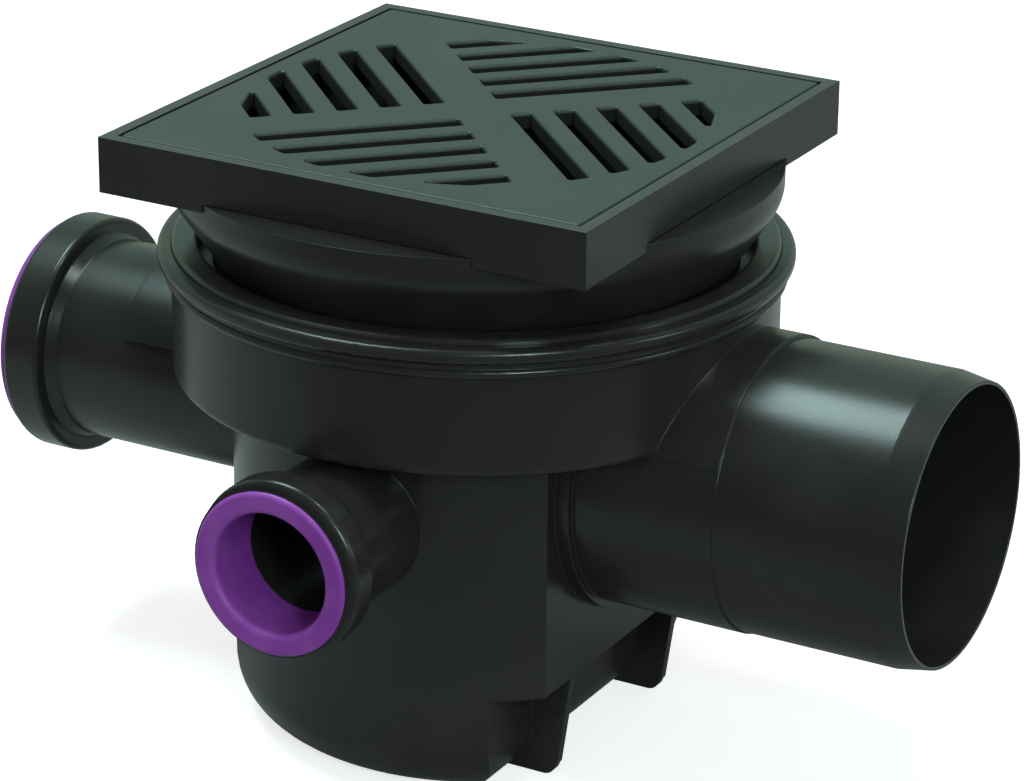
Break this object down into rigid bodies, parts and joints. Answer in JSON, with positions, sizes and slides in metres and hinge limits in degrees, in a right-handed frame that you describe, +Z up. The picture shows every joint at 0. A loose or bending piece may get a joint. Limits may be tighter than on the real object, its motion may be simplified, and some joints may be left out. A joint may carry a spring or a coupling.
{
  "type": "gully trap",
  "caption": "Floor gully trap: round sump and drum with a drain spigot, sealed branch sockets, a dip elbow, a height-set riser and a square slotted grate in a turning frame.",
  "frame": {"origin": "on the drum's axis, at the underside of the sump, where the trap stands", "axes": "+Z up along the drum's axis, +X out of the drain spigot; the larger branch socket opens towards -X and the smaller one towards -Y"},
  "size_m": [0.3905, 0.265, 0.24],
  "materials": {
    "body": "smooth moulding",
    "ring": "smooth moulding",
    "riser_seal": "satin, moulded",
    "branch_75_seal": "satin, moulded",
    "branch_50_seal": "satin, moulded",
    "elbow": "smooth moulding",
    "elbow_seal": "satin, moulded",
    "riser": "smooth moulding",
    "frame": "smooth moulding",
    "grate": "fine moulded grain"
  },
  "bodies": {
    "body": {"gully_body": "body", "socket_ring": "ring", "riser_seal": "riser_seal", "branch_75_seal": "branch_75_seal", "branch_50_seal": "branch_50_seal", "trap_elbow": "elbow", "elbow_seal": "elbow_seal"},
    "riser": {"riser": "riser"},
    "frame": {"frame": "frame", "grate": "grate"}
  },
  "joints": [
    {"name": "riser_height", "type": "slide", "parent": "body", "child": "riser", "axis": [0, 0, 1], "range_m": [-0.003, 0.005]},
    {"name": "frame_turn", "type": "hinge", "parent": "riser", "child": "frame", "pos_m": [0, 0, 0.222], "axis": [0, 0, 1], "continuous": true}
  ]
}
